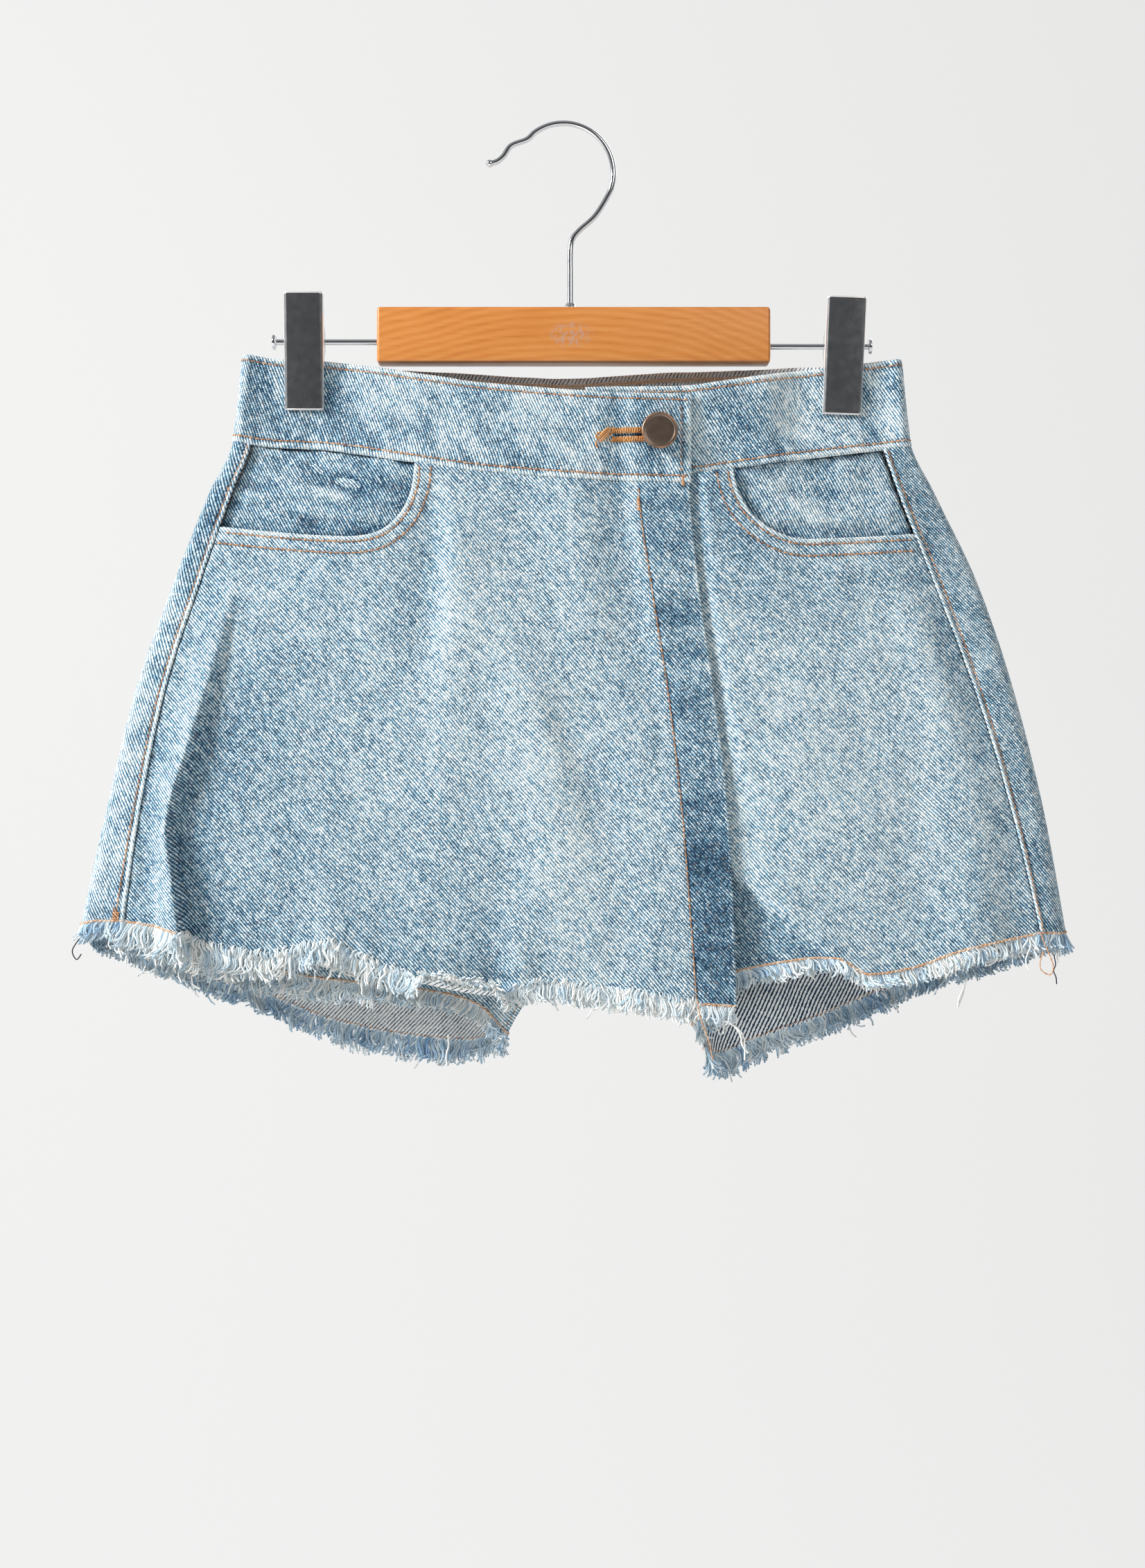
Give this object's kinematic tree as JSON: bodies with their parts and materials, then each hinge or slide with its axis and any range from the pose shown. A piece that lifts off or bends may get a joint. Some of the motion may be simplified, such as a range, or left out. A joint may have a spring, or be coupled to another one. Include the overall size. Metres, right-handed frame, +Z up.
{
  "type": "wrap-front denim shorts on a clip hanger",
  "caption": "Light-wash denim shorts with a wrap front panel, curved pockets, a buttoned waistband and frayed hems, clipped flat to a wooden bar hanger with a steel hook.",
  "frame": {"origin": "underside of the top of the hanger's hook, where it rests on a rail", "axes": "+Z up, -Y towards the viewer of the front, +X to the right seen from the front"},
  "size_m": [0.484, 0.044, 0.4708],
  "materials": {
    "denim": "light stone-washed twill, matt",
    "fringe": "loose cotton yarn ends, matt",
    "button_metal": "aged bronze plating, satin",
    "chrome": "worn bright plating",
    "steel": "drawn steel wire",
    "wood": "honey varnish, worn at the middle"
  },
  "bodies": {
    "root": {"waistband": "denim", "wrap_front": "denim", "wrap_edge_facing": "denim", "front_left": "denim", "front_right": "denim", "back_left": "denim", "back_right": "denim", "pocket_facing_left": "denim", "pocket_facing_right": "denim", "fringe_wrap": "fringe", "fringe_front_left": "fringe", "fringe_front_right": "fringe", "fringe_back_left": "fringe", "fringe_back_right": "fringe", "waist_button": "button_metal", "hanger_hook": "chrome", "hanger_collar": "chrome", "hanger_bar": "wood", "hanger_rod_left": "steel", "hanger_rod_right": "steel", "clip_left_front_jaw": "chrome", "clip_left_back_jaw": "chrome", "clip_left_spring": "steel", "clip_right_front_jaw": "chrome", "clip_right_back_jaw": "chrome", "clip_right_spring": "steel"}
  },
  "joints": []
}
